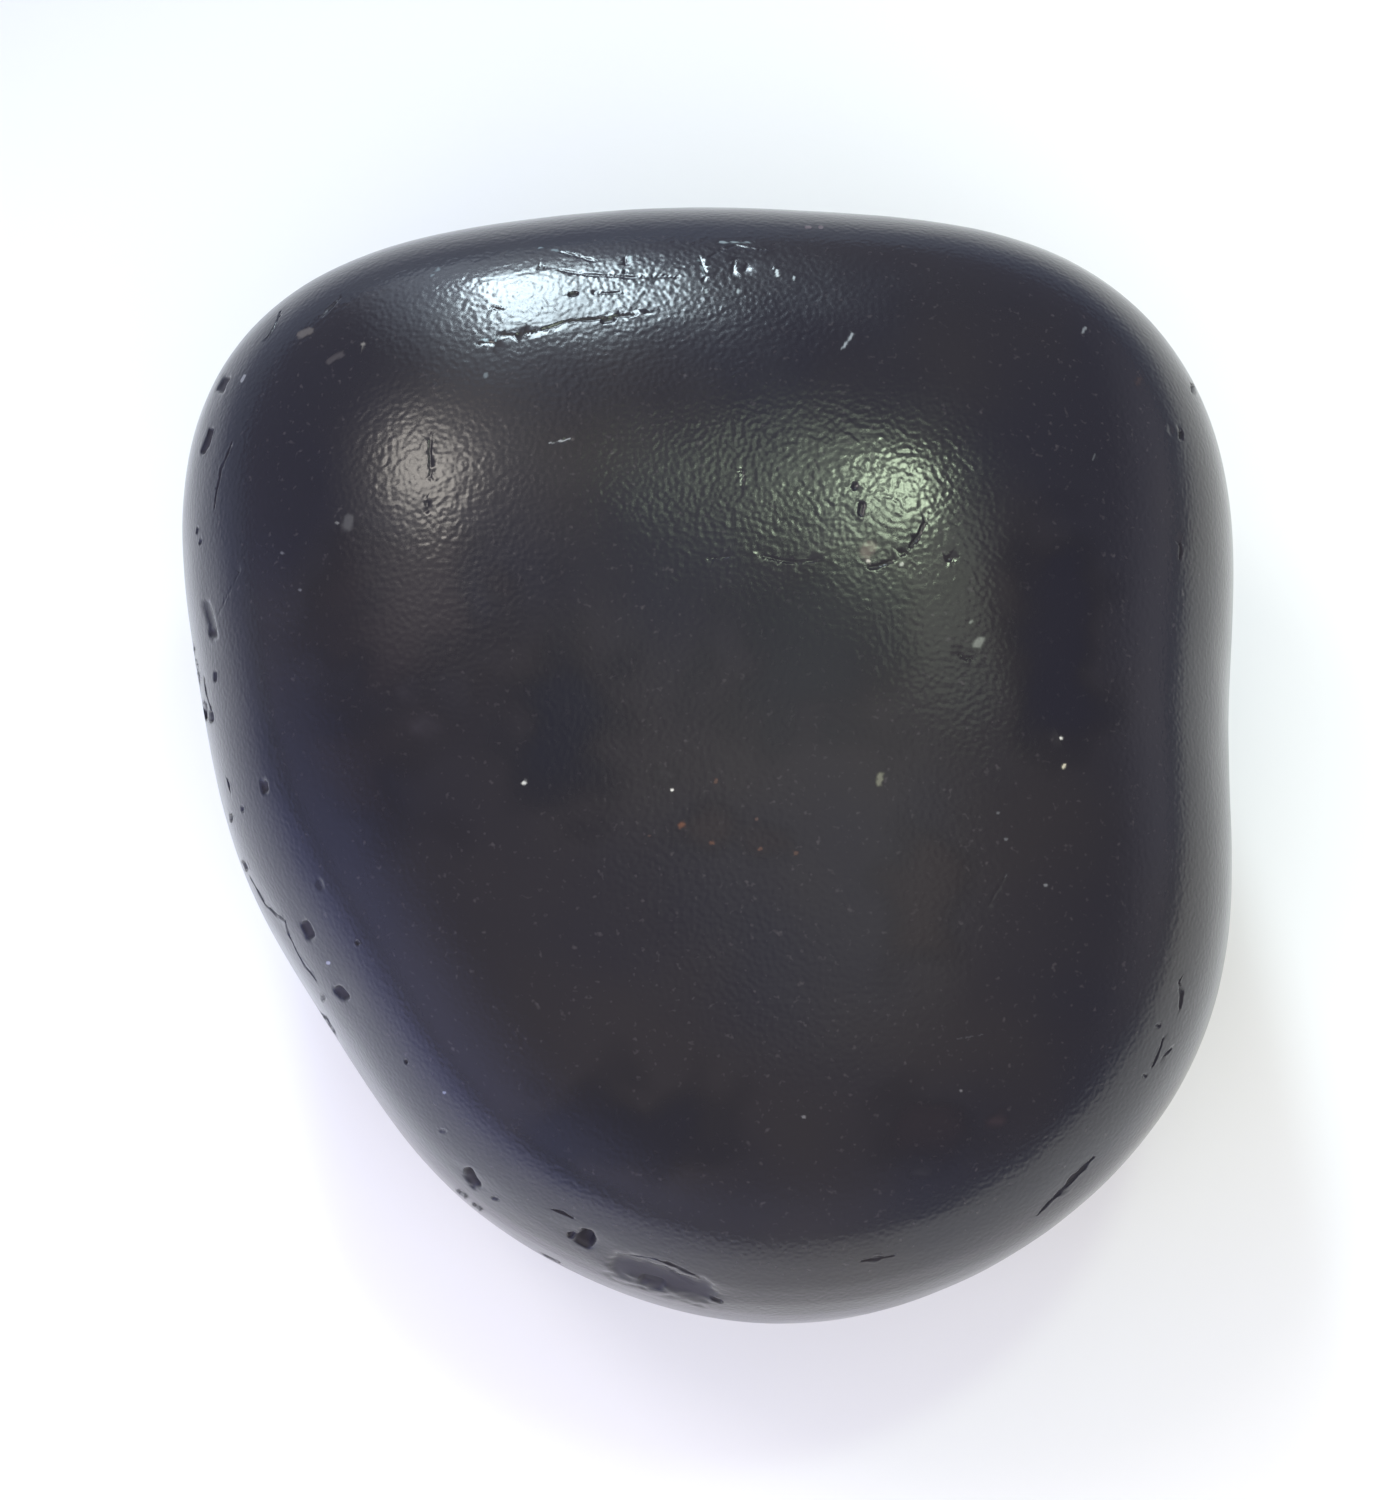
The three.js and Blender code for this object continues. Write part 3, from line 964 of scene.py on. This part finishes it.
# %% The table
TABLE_SIZE = 1.6
PAINTED_LIGHT_MIDDLE = Vector((55, -35, 0)) * MM
PAINTED_LIGHT_REACH, PAINTED_FALLOFF_REACH = 85 * MM, 225 * MM
PAPER_WHITE, PAINTED_FALLOFF_GREY = linear("#f6f6f6"), linear("#9a9eb0")


def white_paper_with_painted_falloff():
    """Matt white paper: an even white without a mirror image, painted greyer far from the stone as a
    painted falloff of light.
    """
    material = bpy.data.materials.new("white_paper_with_painted_falloff")
    material.use_nodes = True
    tree = material.node_tree
    shader = tree.nodes["Principled BSDF"]
    place = add(tree, "ShaderNodeTexCoord").outputs["Object"]
    distance = add(tree, "ShaderNodeVectorMath", {0: place}, operation="DISTANCE")
    distance.inputs[1].default_value = PAINTED_LIGHT_MIDDLE
    # The paper is painted greyer away from its middle: a painted falloff of light.
    painted_falloff = add(
        tree, "ShaderNodeMapRange", {"Value": distance.outputs["Value"]},
        interpolation_type="SMOOTHSTEP", From_Min=PAINTED_LIGHT_REACH, From_Max=PAINTED_FALLOFF_REACH,
    )
    colour = add(tree, "ShaderNodeMix", {0: painted_falloff.outputs["Result"]}, data_type="RGBA")
    colour.inputs[6].default_value = PAPER_WHITE
    colour.inputs[7].default_value = PAINTED_FALLOFF_GREY
    tree.links.new(colour.outputs[2], shader.inputs["Base Color"])
    shader.inputs["Roughness"].default_value = 0.9
    shader.inputs["Specular IOR Level"].default_value = 0.1
    return material


bpy.ops.object.select_all(action="DESELECT")
bpy.ops.mesh.primitive_plane_add(size=TABLE_SIZE)
table = bpy.context.object
table.name = "table"
table.data.materials.append(white_paper_with_painted_falloff())
print("the table is", TABLE_SIZE, "m wide")

# %% [markdown]
# ## The light
# A satin stone shows its lamps as soft spots, so the lamps are placed by what the photo's stone
# mirrors. It has a tall bluish window behind the blunt end, a warm lamp on the left, a greenish lamp
# high on the right with a dimmer one beside it, and faint glows low all round, the bluest of them on
# the left. Each softbox is given by its bearing and height as seen from the stone, the angles that
# it spans, and how bright it looks. The lamp's watts follow from these. Most glows are softboxes
# that fade towards their edges, so that they leave no line on the stone.

# %% Softboxes
LAMP_DISTANCE = 1.0


def softbox(name, bearing, height, wide, tall, brightness, colour):
    """A rectangular lamp that faces the stone. Angles are in degrees."""
    level = math.cos(math.radians(height))
    away = Vector((
        level * math.cos(math.radians(bearing)),
        level * math.sin(math.radians(bearing)),
        math.sin(math.radians(height)),
    ))
    bpy.ops.object.light_add(type="AREA", location=middle + LAMP_DISTANCE * away)
    lamp = bpy.context.object
    lamp.name = name
    lamp.rotation_euler = (-away).to_track_quat("-Z", "Y").to_euler()
    lamp.data.shape = "RECTANGLE"
    lamp.data.size = 2 * LAMP_DISTANCE * math.tan(math.radians(wide / 2))
    lamp.data.size_y = 2 * LAMP_DISTANCE * math.tan(math.radians(tall / 2))
    lamp.data.energy = brightness * math.pi * lamp.data.size * lamp.data.size_y
    lamp.data.color = linear(colour)[:3]
    return lamp


def soften(lamp):
    """Lets a lamp fade from its middle to its edges, as a lit wall does."""
    lamp.data.use_nodes = True
    tree = lamp.data.node_tree
    spot = add(tree, "ShaderNodeNewGeometry").outputs["Parametric"]
    offset = add(tree, "ShaderNodeVectorMath", {0: spot}, operation="DISTANCE")
    offset.inputs[1].default_value = (0.5, 0.5, 0.0)
    fading = add(
        tree, "ShaderNodeMapRange", {"Value": offset.outputs["Value"]},
        interpolation_type="SMOOTHSTEP", From_Min=0.0, From_Max=0.5, To_Min=1.0, To_Max=0.0,
    )
    tree.links.new(fading.outputs["Result"], tree.nodes["Emission"].inputs["Strength"])


print("each softbox stands", LAMP_DISTANCE, "m from the stone")

# %% The lamps that the stone mirrors
softbox("window", 101.2, 27, 7, 25, 31, "#e2f6ff")
soften(softbox("window_frame_glow", 106, 16, 36, 100, 1.8, "#dcecff"))
softbox("warm_lamp", 145, 58.5, 11, 11.5, 8.6, "#fff8ec")
soften(softbox("warm_glow", 146, 60, 54, 48, 1.0, "#fffaf4"))
softbox("green_lamp", 58, 72.7, 5.2, 5.6, 36, "#e8ffda")
softbox("green_glow", 80, 72, 8, 13, 1.9, "#eaffdc")
softbox("green_tail", 18, 73.5, 12, 14, 1.1, "#eeffe2")
soften(softbox("overhead_glow", 284, 78, 34, 58, 0.5, "#f8fff4"))
soften(softbox("right_low_glow", 8, 6, 90, 56, 0.38, "#f2f2ff"))
soften(softbox("front_low_glow", 270, 4, 90, 60, 0.32, "#d0d8ff"))
soften(softbox("left_low_glow", 214, 4, 100, 76, 0.75, "#b0bcff"))

# %% [markdown]
# A white table stays white in the photo, without a dark shadow. One more big lamp lights only
# what is matt: glossy rays don't see it, so it adds no spot to the stone. A small bluish lamp
# does the same for the table on the lower left, where the stone's edge mirrors a blue sheen.

# %% The matt light and the room
BLUE_POOL_PLACE = Vector((-160, -122, 70)) * MM
BLUE_POOL_SIZE, BLUE_POOL_WATTS = 170 * MM, 0.3
ROOM_STRENGTH = 0.42

room_light = softbox("room_light", 272, 50, 60, 60, 2.15, "#fffbec")
room_light.visible_glossy = False

bpy.ops.object.light_add(type="AREA", location=BLUE_POOL_PLACE)
blue_pool = bpy.context.object
blue_pool.name = "blue_pool_lamp"
blue_pool.data.size = BLUE_POOL_SIZE
blue_pool.data.energy = BLUE_POOL_WATTS
blue_pool.data.color = linear("#a2acff")[:3]
blue_pool.visible_glossy = False

world = bpy.data.worlds.new("pale_room")
world.use_nodes = True
background = world.node_tree.nodes["Background"]
background.inputs["Color"].default_value = linear("#e6e4fc")
background.inputs["Strength"].default_value = ROOM_STRENGTH
bpy.context.scene.world = world
bpy.context.scene.view_settings.view_transform = "Standard"
